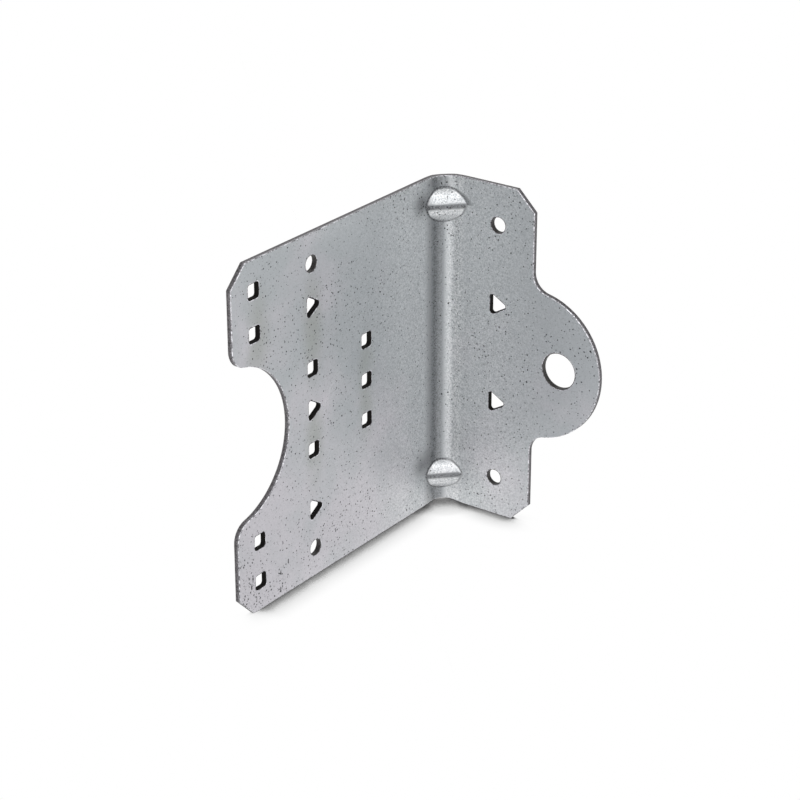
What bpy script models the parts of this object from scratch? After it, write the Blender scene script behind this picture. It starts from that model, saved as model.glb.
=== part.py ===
"""Steel stud clip: one piece of galvanised sheet, punched, folded square and stiffened by two pressed gussets.

Units are metres and +Z is up, along the fold. The wide leg runs to -X and its free edge has a round scallop.
The narrow leg runs to -Y and carries a round ear with the anchor hole. Lengths along a leg are measured from
the corner line, where the two inner faces would meet if the fold were sharp. The scallop is what the ear of
the next clip leaves in the strip that both are cut from. The origin is under the middle of the clip.
"""
import math

import bmesh
import bpy
from mathutils import Matrix

# Sheet and fold
SHEET_THICKNESS = 0.00172
FOLD_INNER_RADIUS = 0.0048
FOLD_LENGTH = 0.1070
CORNER_CUT = 0.0062

# Wide leg and the scallop in its free edge
WIDE_LEG_LENGTH = 0.09855
SCALLOP_SHARE = 0.22486
SCALLOP_CENTRE_PAST_EDGE = 0.0003
SCALLOP_LIP_RADIUS = 0.0060

# Narrow leg and the ear on its free edge
NARROW_LEG_LENGTH = 0.03245
EAR_CLEARANCE = 0.00066
EAR_CENTRE_PAST_EDGE = 0.0004
EAR_ROOT_RADIUS = 0.0060
ANCHOR_HOLE_DIAMETER = 0.0111
ANCHOR_HOLE_PAST_EDGE = 0.00975

# Fastener holes: round ones for nails, square and three-cornered ones for other fasteners
ROUND_HOLE_DIAMETER = 0.0048
SQUARE_HOLE_SIDE = 0.0044
TRIANGLE_HOLE_SIDE = 0.0070
HOLE_CORNER_RADIUS = 0.00045

# Hole grid of the wide leg: distances of its outer column and its end row from the edges, and its pitches
WIDE_LEG_EDGE_DISTANCE = 0.0095
WIDE_LEG_END_DISTANCE = 0.00905
COLUMN_PITCH = 0.0254
ROW_PITCH = 0.0127

# Hole column of the narrow leg
NARROW_ROUND_EDGE_DISTANCE = 0.0125
NARROW_TRIANGLE_EDGE_DISTANCE = 0.0128
NARROW_ROUND_END_DISTANCE = 0.0124
NARROW_TRIANGLE_HEIGHT = 0.01588

# Pressed gussets: wedges pushed through the fold from outside, their crests square to the fold. Both sit a
# little high. The upper flank is flat, and the lower one is full down to a knee; a slope is depth lost per height.
GUSSET_END_DISTANCE = 0.00925
GUSSET_RISE = 0.00065
UPPER_GUSSET_DEPTH = 0.0061
LOWER_GUSSET_DEPTH = 0.0056
UPPER_FLANK_SLOPE = 0.95
LOWER_FLANK_SLOPE = 0.40
KNEE_BELOW_CREST = 0.0034
FOOT_SLOPE = 1.10
KNEE_BLEND = 0.0006
GUSSET_CREST_RADIUS = 0.0010
PUNCH_NOSE_RADIUS = 0.0003
GUSSET_ROOT_BLEND = 0.0010

# Pressing the gussets draws the ends of the fold in
FOLD_END_DRAW = 0.0004
FOLD_END_DRAW_REACH = 0.0070

# Fineness of the round forms
FOLD_STEPS = 12
GUSSET_STEPS_ACROSS = 8
GUSSET_STEPS_ALONG = 24
GUSSET_STEP_GRADE = 1.3
EDGE_ARC_STEPS = 36
FILLET_STEPS = 7
ROUND_HOLE_STEPS = 24
ANCHOR_HOLE_STEPS = 40
HOLE_CORNER_STEPS = 3

# Spare sheet outside the outline before it is trimmed, and how far a cutter passes a face
TRIM_MARGIN = 0.004

HALF_HEIGHT = FOLD_LENGTH / 2
DIAGONAL = math.sqrt(2)
SCALLOP_RADIUS = SCALLOP_SHARE * FOLD_LENGTH
EAR_RADIUS = SCALLOP_RADIUS - EAR_CLEARANCE
EAR_REACH = NARROW_LEG_LENGTH + EAR_CENTRE_PAST_EDGE + EAR_RADIUS
CREST_HEIGHT = HALF_HEIGHT - GUSSET_END_DISTANCE
GUSSETS = ((GUSSET_RISE - CREST_HEIGHT, LOWER_GUSSET_DEPTH), (GUSSET_RISE + CREST_HEIGHT, UPPER_GUSSET_DEPTH))
FLANK_SHARPNESS = ((UPPER_FLANK_SLOPE + LOWER_FLANK_SLOPE) / 2) ** 2


def clear_scene():
    """Removes every object, so that the clip stands alone."""
    for found in list(bpy.data.objects):
        bpy.data.objects.remove(found, do_unlink=True)


def new_collection(name):
    """Adds a collection to the scene and returns it."""
    collection = bpy.data.collections.new(name)
    bpy.context.scene.collection.children.link(collection)
    return collection


def galvanised_steel():
    """Bright grey zinc on rolled steel."""
    material = bpy.data.materials.new("galvanised_steel")
    material.use_nodes = True
    shader = material.node_tree.nodes["Principled BSDF"]
    shader.inputs["Base Color"].default_value = (0.42, 0.43, 0.44, 1.0)
    shader.inputs["Metallic"].default_value = 1.0
    shader.inputs["Roughness"].default_value = 0.45
    return material


def spread(start, end, steps):
    """Evenly spaced numbers from start to end, both included."""
    return [start + (end - start) * step / steps for step in range(steps + 1)]


def arc(centre, radius, start, end, steps):
    """Points on a circle between two angles, both included."""
    return [
        (centre[0] + radius * math.cos(angle), centre[1] + radius * math.sin(angle))
        for angle in spread(start, end, steps)
    ]


def circle(centre, diameter, steps):
    """Points of a whole circle."""
    return arc(centre, diameter / 2, 0.0, 2 * math.pi, steps)[:-1]


def rounded_polygon(centre, sides, side_length, first_corner):
    """Points of a regular polygon with rounded corners; first_corner is the angle to its first corner."""
    inner_radius = side_length / (2 * math.tan(math.pi / sides))
    corner_reach = (inner_radius - HOLE_CORNER_RADIUS) / math.cos(math.pi / sides)
    points = []
    for corner in range(sides):
        angle = first_corner + 2 * math.pi * corner / sides
        corner_centre = (centre[0] + corner_reach * math.cos(angle), centre[1] + corner_reach * math.sin(angle))
        half_turn = math.pi / sides
        points += arc(corner_centre, HOLE_CORNER_RADIUS, angle - half_turn, angle + half_turn, HOLE_CORNER_STEPS)
    return points


def square_hole(distance, height):
    """A square hole with its sides along the leg's edges."""
    return rounded_polygon((distance, height), 4, SQUARE_HOLE_SIDE, math.pi / 4)


def triangle_hole(distance, height, apex):
    """A three-cornered hole with one side along the fold; apex is the angle to its point."""
    return rounded_polygon((distance, height), 3, TRIANGLE_HOLE_SIDE, apex)


def free_edge(edge, centre, radius, fillet, outward):
    """Free edge of a leg from top to bottom, as (distance, height) points.

    An ear (outward) or a scallop (not outward) is an arc of the given radius about (centre, 0), and fillets
    join it to the straight edge.
    """
    side = 1 if outward else -1
    fillet_distance = edge + side * fillet
    fillet_height = math.sqrt((radius + fillet) ** 2 - (centre - fillet_distance) ** 2)
    meeting = math.atan2(fillet_height, fillet_distance - centre)
    straight = math.pi if outward else 2 * math.pi
    upper = arc((fillet_distance, fillet_height), fillet, straight, meeting + math.pi, FILLET_STEPS)
    last = -meeting if outward else 2 * math.pi - meeting
    middle = arc((centre, 0.0), radius, meeting, last, EDGE_ARC_STEPS)[1:-1]
    lower = [(distance, -height) for distance, height in reversed(upper)]
    return upper + middle + lower


def leg_outline(edge, edge_points):
    """Closed outline that trims a leg's free edge, with the outer corners cut at 45 degrees.

    It passes the ends of the fold by the trim margin, and it starts and ends behind the other leg.
    """
    behind = -SHEET_THICKNESS - TRIM_MARGIN
    top = HALF_HEIGHT + TRIM_MARGIN
    cut_start = edge - CORNER_CUT - TRIM_MARGIN
    cut_end = HALF_HEIGHT - CORNER_CUT
    return (
        [(behind, top), (cut_start, top), (edge, cut_end)]
        + edge_points
        + [(edge, -cut_end), (cut_start, -top), (behind, -top)]
    )


def wide_leg_frame(lift):
    """Lays (distance, height, depth) on the wide leg: distance to -X, height to +Z, depth to +Y."""
    return Matrix(((-1, 0, 0, 0), (0, 0, 1, lift), (0, 1, 0, 0), (0, 0, 0, 1)))


def narrow_leg_frame(lift):
    """Lays (distance, height, depth) on the narrow leg: distance to -Y, height to +Z, depth to -X."""
    return Matrix(((0, 0, -1, lift), (-1, 0, 0, 0), (0, 1, 0, 0), (0, 0, 0, 1)))


def flat_prism(name, outlines, depth, frame, collection, corner):
    """Makes one mesh of closed outlines, filled and given a depth, as a cutter in a leg's frame."""
    curve = bpy.data.curves.new(name, "CURVE")
    curve.dimensions = "2D"
    curve.fill_mode = "BOTH"
    curve.extrude = depth / 2
    for outline in outlines:
        spline = curve.splines.new("POLY")
        spline.points.add(len(outline) - 1)
        for point, (distance, height) in zip(spline.points, outline):
            point.co = (distance, height, 0.0, 1.0)
        spline.use_cyclic_u = True
    drawn = bpy.data.objects.new(name + "_outline", curve)
    collection.objects.link(drawn)
    bpy.context.view_layer.update()
    evaluated = drawn.evaluated_get(bpy.context.evaluated_depsgraph_get())
    mesh = bpy.data.meshes.new_from_object(evaluated)
    bpy.data.objects.remove(drawn, do_unlink=True)
    solid = bmesh.new()
    solid.from_mesh(mesh)
    bmesh.ops.remove_doubles(solid, verts=solid.verts, dist=1e-6)
    bmesh.ops.recalc_face_normals(solid, faces=solid.faces)
    solid.to_mesh(mesh)
    solid.free()
    cutter = bpy.data.objects.new(name, mesh)
    cutter.matrix_local = frame
    cutter.parent = corner
    cutter.display_type = "WIRE"
    cutter.hide_render = True
    collection.objects.link(cutter)
    return cutter


def fold_depth(across, offset):
    """Depth from the corner line, along the bisector, of the folded sheet's face at an offset outwards."""
    radius = FOLD_INNER_RADIUS + offset
    if abs(across) >= radius / DIAGONAL:
        return abs(across) - DIAGONAL * offset
    return DIAGONAL * FOLD_INNER_RADIUS - math.sqrt(radius**2 - across**2)


def soft_larger(first, second, blend):
    """The larger of two numbers, rounded off where they differ by less than the blend."""
    overlap = max(blend - abs(first - second), 0.0)
    return max(first, second) + overlap**2 / (4 * blend)


def gusset_depth(height, offset):
    """Depth of the nearer pressed wedge at a height: flat flanks, and a crest rounded more inside than outside."""
    crest, depth = min(GUSSETS, key=lambda gusset: abs(height - gusset[0]))
    above = height - crest
    inside_nose = FLANK_SHARPNESS * GUSSET_CREST_RADIUS
    nose = inside_nose if offset == 0.0 else FLANK_SHARPNESS * PUNCH_NOSE_RADIUS
    sharp_crest = depth + inside_nose
    upper = sharp_crest - UPPER_FLANK_SLOPE * above - math.hypot(1.0, UPPER_FLANK_SLOPE) * offset
    lower = sharp_crest + LOWER_FLANK_SLOPE * above - math.hypot(1.0, LOWER_FLANK_SLOPE) * offset
    knee = sharp_crest - LOWER_FLANK_SLOPE * KNEE_BELOW_CREST
    foot = knee + FOOT_SLOPE * (above + KNEE_BELOW_CREST) - math.hypot(1.0, FOOT_SLOPE) * offset
    wedge = (upper + lower) / 2 - math.hypot((upper - lower) / 2, nose)
    return -soft_larger(-wedge, -foot, KNEE_BLEND)


def pressed_depth(across, height, offset):
    """The deeper of fold and gusset, with a soft blend where they meet."""
    return soft_larger(fold_depth(across, offset), gusset_depth(height, offset), GUSSET_ROOT_BLEND)


def gusset_span(crest, depth):
    """Lowest and highest point of a gusset, where its flanks have blended into the fold."""
    fall = depth + FLANK_SHARPNESS * GUSSET_CREST_RADIUS + GUSSET_ROOT_BLEND - fold_depth(0.0, 0.0)
    foot_fall = fall - LOWER_FLANK_SLOPE * KNEE_BELOW_CREST
    return crest - KNEE_BELOW_CREST - foot_fall / FOOT_SLOPE, crest + fall / UPPER_FLANK_SLOPE


def fine_columns(offset):
    """Places across the fold, from its middle outwards, of the mesh lines over fold and gussets."""
    arc_columns = [
        (FOLD_INNER_RADIUS + offset) * math.sin(turn) for turn in spread(0.0, math.pi / 4, FOLD_STEPS // 2)
    ]
    gusset_end = DIAGONAL * (max(UPPER_GUSSET_DEPTH, LOWER_GUSSET_DEPTH) + GUSSET_ROOT_BLEND)
    leg_distances = spread(FOLD_INNER_RADIUS, gusset_end, GUSSET_STEPS_ACROSS)[1:]
    return arc_columns + [(distance + offset) / DIAGONAL for distance in leg_distances]


def sheet_columns(offset):
    """Places across the fold of all the mesh lines of a face, from the wide leg's end to the narrow leg's."""
    half = fine_columns(offset)
    wide_end = -(WIDE_LEG_LENGTH + TRIM_MARGIN + offset) / DIAGONAL
    narrow_end = (EAR_REACH + TRIM_MARGIN + offset) / DIAGONAL
    return [wide_end] + [-across for across in reversed(half[1:])] + half + [narrow_end]


def sheet_rows():
    """Heights of the mesh lines: fine over the gussets only, and finest at their crests."""
    steps = [fraction**GUSSET_STEP_GRADE for fraction in spread(0.0, 1.0, GUSSET_STEPS_ALONG // 2)]
    rows = []
    for crest, depth in GUSSETS:
        bottom, top = gusset_span(crest, depth)
        rows += [crest - step * (crest - bottom) for step in reversed(steps[1:])]
        rows += [crest + step * (top - crest) for step in steps]
    return [-HALF_HEIGHT] + [row for row in rows if abs(row) < HALF_HEIGHT] + [HALF_HEIGHT]


def drawn_height(across, height):
    """Height of a point of the blank after the gussets have drawn the ends of the fold in."""
    if abs(height) < HALF_HEIGHT:
        return height
    fade = math.cos(math.pi / 2 * min(abs(across) / FOLD_END_DRAW_REACH, 1.0)) ** 2
    return math.copysign(HALF_HEIGHT - FOLD_END_DRAW * fade, height)


def add_sheet_face(sheet, offset):
    """Adds one face of the folded and pressed sheet as a grid: the inner at offset 0, the outer beyond it.

    The flat of each leg becomes one face, and the other faces are split along the gussets' edges.
    """
    columns = sheet_columns(offset)
    rows = sheet_rows()
    grid = bmesh.ops.create_grid(sheet, x_segments=len(columns) - 1, y_segments=len(rows) - 1, size=1.0)
    for vertex in grid["verts"]:
        vertex.co.x = columns[round((vertex.co.x + 1) / 2 * (len(columns) - 1))]
        vertex.co.y = rows[round((vertex.co.y + 1) / 2 * (len(rows) - 1))]
    faces = {face for vertex in grid["verts"] for face in vertex.link_faces}
    flats = [face for face in faces if abs(face.calc_center_bounds().x) > fine_columns(offset)[-1]]
    rising, falling = [], []
    for face in faces.difference(flats):
        across, height = face.calc_center_bounds().xy
        above = height - min(GUSSETS, key=lambda gusset: abs(height - gusset[0]))[0]
        (falling if across * above > 0 else rising).append(face)
    bmesh.ops.dissolve_faces(sheet, faces=flats)
    bmesh.ops.triangulate(sheet, faces=rising, quad_method="FIXED")
    bmesh.ops.triangulate(sheet, faces=falling, quad_method="ALTERNATE")
    for vertex in grid["verts"]:
        across, height = vertex.co.xy
        depth = pressed_depth(across, height, offset)
        vertex.co = (
            (across - depth) / DIAGONAL,
            (-across - depth) / DIAGONAL,
            drawn_height(across, height),
        )


def folded_sheet(collection, corner):
    """The folded sheet with its gussets, its free edges still untrimmed: two faces joined round their border."""
    sheet = bmesh.new()
    add_sheet_face(sheet, 0.0)
    add_sheet_face(sheet, SHEET_THICKNESS)
    border = [edge for edge in sheet.edges if edge.is_boundary]
    bmesh.ops.bridge_loops(sheet, edges=border)
    bmesh.ops.recalc_face_normals(sheet, faces=sheet.faces)
    mesh = bpy.data.meshes.new("stud_clip")
    sheet.to_mesh(mesh)
    sheet.free()
    clip = bpy.data.objects.new("stud_clip", mesh)
    clip.parent = corner
    collection.objects.link(clip)
    return clip


def wide_leg_holes():
    """Outlines of the holes in the wide leg: squares, then rounds, triangles and squares, then squares."""
    outer = WIDE_LEG_LENGTH - WIDE_LEG_EDGE_DISTANCE
    middle = outer - COLUMN_PITCH
    inner = middle - COLUMN_PITCH
    end_row = HALF_HEIGHT - WIDE_LEG_END_DISTANCE
    second_row = end_row - ROW_PITCH
    towards_fold = math.pi
    outlines = [triangle_hole(middle, 0.0, towards_fold), square_hole(inner, 0.0)]
    for up in (1, -1):
        outlines += [square_hole(outer, up * height) for height in (end_row, second_row)]
        outlines.append(circle((middle, up * end_row), ROUND_HOLE_DIAMETER, ROUND_HOLE_STEPS))
        outlines.append(triangle_hole(middle, up * second_row, towards_fold))
        outlines += [square_hole(distance, up * ROW_PITCH) for distance in (middle, inner)]
    return outlines


def narrow_leg_holes():
    """Outlines of the holes in the narrow leg: the anchor hole in the ear, rounds and triangles."""
    rounds = NARROW_LEG_LENGTH - NARROW_ROUND_EDGE_DISTANCE
    triangles = NARROW_LEG_LENGTH - NARROW_TRIANGLE_EDGE_DISTANCE
    end_row = HALF_HEIGHT - NARROW_ROUND_END_DISTANCE
    anchor = (NARROW_LEG_LENGTH + ANCHOR_HOLE_PAST_EDGE, 0.0)
    away_from_fold = 0.0
    outlines = [circle(anchor, ANCHOR_HOLE_DIAMETER, ANCHOR_HOLE_STEPS)]
    for up in (1, -1):
        outlines.append(circle((rounds, up * end_row), ROUND_HOLE_DIAMETER, ROUND_HOLE_STEPS))
        outlines.append(triangle_hole(triangles, up * NARROW_TRIANGLE_HEIGHT, away_from_fold))
    return outlines


def cut(clip, cutter, operation):
    """Adds a Boolean modifier to the clip."""
    step = clip.modifiers.new(cutter.name, "BOOLEAN")
    step.operation = operation
    step.object = cutter


def build():
    """Builds the clip and its cutters."""
    clear_scene()
    parts = new_collection("steel_stud_clip")
    cutters = new_collection("cutters")
    corner = bpy.data.objects.new("corner_line", None)
    corner.location = ((WIDE_LEG_LENGTH - SHEET_THICKNESS) / 2, (EAR_REACH - SHEET_THICKNESS) / 2, HALF_HEIGHT)
    parts.objects.link(corner)
    clip = folded_sheet(parts, corner)
    clip.data.materials.append(galvanised_steel())

    scallop_centre = WIDE_LEG_LENGTH + SCALLOP_CENTRE_PAST_EDGE
    scalloped = free_edge(WIDE_LEG_LENGTH, scallop_centre, SCALLOP_RADIUS, SCALLOP_LIP_RADIUS, False)
    wide_outline = leg_outline(WIDE_LEG_LENGTH, scalloped)
    ear_centre = NARROW_LEG_LENGTH + EAR_CENTRE_PAST_EDGE
    eared = free_edge(NARROW_LEG_LENGTH, ear_centre, EAR_RADIUS, EAR_ROOT_RADIUS, True)
    narrow_outline = leg_outline(NARROW_LEG_LENGTH, eared)

    behind = SHEET_THICKNESS + TRIM_MARGIN
    wide_span = EAR_REACH + 2 * TRIM_MARGIN + behind
    wide_lift = behind - wide_span / 2
    narrow_span = WIDE_LEG_LENGTH + 2 * TRIM_MARGIN + behind
    narrow_lift = behind - narrow_span / 2
    hole_depth = SHEET_THICKNESS + 2 * TRIM_MARGIN
    hole_lift = SHEET_THICKNESS / 2
    trims = (
        ("wide_leg_trim", [wide_outline], wide_span, wide_leg_frame(wide_lift), "INTERSECT"),
        ("narrow_leg_trim", [narrow_outline], narrow_span, narrow_leg_frame(narrow_lift), "INTERSECT"),
        ("wide_leg_holes", wide_leg_holes(), hole_depth, wide_leg_frame(hole_lift), "DIFFERENCE"),
        ("narrow_leg_holes", narrow_leg_holes(), hole_depth, narrow_leg_frame(hole_lift), "DIFFERENCE"),
    )
    for name, outlines, depth, frame, operation in trims:
        cut(clip, flat_prism(name, outlines, depth, frame, cutters, corner), operation)


build()
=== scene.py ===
"""Looks of the steel stud clip: a fine model of the pressed sheet, its galvanised finish, and the studio.

Units are metres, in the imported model's frame: +Z up along the fold, the wide leg runs to -X and the narrow
leg to -Y. Lengths along a leg are measured from the corner line, where the inner faces would meet without a
fold. Patterns are given in millimetres.
"""

import logging
import math
from dataclasses import dataclass
from enum import IntEnum

import bpy
import numpy as np
from mathutils import Matrix, Vector


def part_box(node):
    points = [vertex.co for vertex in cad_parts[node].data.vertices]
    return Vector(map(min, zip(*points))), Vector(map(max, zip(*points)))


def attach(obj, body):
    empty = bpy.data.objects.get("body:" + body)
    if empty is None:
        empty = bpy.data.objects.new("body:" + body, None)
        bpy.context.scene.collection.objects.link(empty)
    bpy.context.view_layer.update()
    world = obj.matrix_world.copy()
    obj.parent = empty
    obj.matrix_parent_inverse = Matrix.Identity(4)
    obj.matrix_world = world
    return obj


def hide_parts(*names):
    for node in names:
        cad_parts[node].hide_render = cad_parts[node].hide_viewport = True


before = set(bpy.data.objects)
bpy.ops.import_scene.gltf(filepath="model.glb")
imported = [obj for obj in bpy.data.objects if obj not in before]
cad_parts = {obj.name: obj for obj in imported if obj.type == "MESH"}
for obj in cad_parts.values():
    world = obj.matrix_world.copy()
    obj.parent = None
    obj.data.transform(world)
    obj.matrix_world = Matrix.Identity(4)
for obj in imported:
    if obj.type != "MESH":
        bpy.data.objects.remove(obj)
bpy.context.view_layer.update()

LOG = logging.getLogger("steel_stud_clip")
DIAGONAL = math.sqrt(2.0)
MILLIMETRE = 0.001
GRID_SIZE = 2.0
CUTTER_DOUBLES = 1e-7
CLIP_DOUBLES = 1e-6
# A Map Range node's inputs, in the order in which this file gives their values.
RANGE = ("From Min", "From Max", "To Min", "To Max")

Outline = list[tuple[float, float]]
# Points of a curve that is read between its points: a place and the value there.
Curve = tuple[tuple[float, float], ...]
Range = tuple[float, float, float, float]


def linear_colour(hex_colour: str) -> tuple[float, float, float, float]:
    """Turns an sRGB hex colour into the linear colour that a shader reads.

    Args:
        hex_colour: six hex digits, such as "A7ACB0".

    Returns:
        Linear red, green, blue and an alpha of 1.
    """
    channels = [int(hex_colour[start:start + 2], 16) / 255 for start in (0, 2, 4)]
    linear = [c / 12.92 if c <= 0.04045 else ((c + 0.055) / 1.055) ** 2.4 for c in channels]
    return (linear[0], linear[1], linear[2], 1.0)


def add_node(
    tree: bpy.types.NodeTree, kind: str, settings: dict | None = None, links: dict | None = None
) -> bpy.types.Node:
    """Adds a node to a tree, sets it up and links its inputs.

    Args:
        tree: the node tree.
        kind: the node's type name.
        settings: attributes by name, and input values by socket name or number.
        links: output sockets by the name or number of the input that each goes to.

    Returns:
        The new node.
    """
    node = tree.nodes.new(kind)
    for key, value in (settings or {}).items():
        if isinstance(key, str) and hasattr(node, key):
            setattr(node, key, value)
        else:
            node.inputs[key].default_value = value
    for key, socket in (links or {}).items():
        tree.links.new(socket, node.inputs[key])
    return node


def empty_material(name: str) -> bpy.types.Material:
    """Adds a material with an empty node tree.

    Args:
        name: the material's name.

    Returns:
        The material.
    """
    material = bpy.data.materials.new(name)
    material.use_nodes = True
    material.node_tree.nodes.clear()
    return material


def deselect_all() -> None:
    """Leaves object mode with nothing selected."""
    if bpy.context.object and bpy.context.object.mode != "OBJECT":
        bpy.ops.object.mode_set(mode="OBJECT")
    bpy.ops.object.select_all(action="DESELECT")


def make_active(piece: bpy.types.Object) -> None:
    """Selects one object alone and makes it the active one.

    Args:
        piece: the object.
    """
    deselect_all()
    piece.select_set(True)
    bpy.context.view_layer.objects.active = piece


class Zone(IntEnum):
    """What a face of the clip is, as its material slot's number."""

    INNER_FACE = 0
    OUTER_FACE = 1
    ROLLED_RIM = 2
    BURR = 3
    BURNISHED_CUT = 4
    FRACTURED_CUT = 5
    PUNCHED_WALL = 6
    ROUND_WALL = 7


def placeholder(zone: Zone) -> bpy.types.Material:
    """Empty material that keeps a zone's slot apart from the others while pieces are joined."""
    name = f"zone_{zone.name.lower()}"
    return bpy.data.materials.get(name) or bpy.data.materials.new(name)


def places_of(mesh: bpy.types.Mesh) -> np.ndarray:
    """Reads the places of a mesh's points.

    Args:
        mesh: the mesh.

    Returns:
        An array with one row of x, y and z for each point.
    """
    flat = np.empty(len(mesh.vertices) * 3)
    mesh.vertices.foreach_get("co", flat)
    return flat.reshape(-1, 3)


def add_zoned_grid(columns: int, rows: int) -> tuple[bpy.types.Object, np.ndarray, np.ndarray]:
    """Adds a flat grid with a material slot for each zone, whose points are then laid out.

    Args:
        columns: how many faces it has across.
        rows: how many faces it has along.

    Returns:
        The grid, and the column line and row line that each of its points is on.
    """
    deselect_all()
    bpy.ops.mesh.primitive_grid_add(x_subdivisions=columns, y_subdivisions=rows, size=GRID_SIZE)
    grid = bpy.context.object
    for zone in Zone:
        grid.data.materials.append(placeholder(zone))
    shares = places_of(grid.data) / GRID_SIZE + 0.5
    column = np.rint(shares[:, 0] * columns).astype(int)
    row = np.rint(shares[:, 1] * rows).astype(int)
    return grid, column, row


def curve_at(curve: Curve, places: np.ndarray) -> np.ndarray:
    """Values of a curve at some places, level past its two ends."""
    return np.interp(places, *zip(*curve))


@dataclass(frozen=True)
class PhotoCamera:
    """The camera that the photograph was taken with, as fitted to the clip's holes and edges."""

    place: tuple[float, float, float] = (-0.511055, -0.363550, 0.342296)
    azimuth: float = -53.997
    elevation: float = 24.382
    lens: float = 109.40
    sensor: float = 36.0
    near_limit: float = 0.01

    def build(self) -> bpy.types.Object:
        """Adds the camera and makes it the scene's.

        Returns:
            The camera.
        """
        data = bpy.data.cameras.new("photo_camera")
        data.lens = self.lens
        data.sensor_width = self.sensor
        data.clip_start = self.near_limit
        camera = bpy.data.objects.new("photo_camera", data)
        camera.location = self.place
        camera.rotation_euler = (math.radians(90.0 - self.elevation), 0.0, math.radians(self.azimuth))
        bpy.context.scene.collection.objects.link(camera)
        bpy.context.scene.camera = camera
        return camera


@dataclass(frozen=True)
class SoftLamp:
    """A rectangular soft lamp, aimed at the clip from a distance."""

    name: str
    azimuth: float
    elevation: float
    distance: float
    width: float
    height: float
    radiance: float

    def build(self, aim: Vector) -> bpy.types.Object:
        """Adds the lamp.

        Args:
            aim: the point that the lamp faces.

        Returns:
            The lamp.
        """
        data = bpy.data.lights.new(self.name, "AREA")
        data.shape = "RECTANGLE"
        data.size = self.width
        data.size_y = self.height
        data.energy = self.radiance * math.pi * self.width * self.height
        lamp = bpy.data.objects.new(self.name, data)
        azimuth = math.radians(self.azimuth)
        elevation = math.radians(self.elevation)
        towards = Vector((
            math.cos(elevation) * math.cos(azimuth),
            math.cos(elevation) * math.sin(azimuth),
            math.sin(elevation),
        ))
        lamp.location = aim + towards * self.distance
        lamp.rotation_euler = towards.to_track_quat("Z", "Y").to_euler()
        bpy.context.scene.collection.objects.link(lamp)
        return lamp


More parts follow.
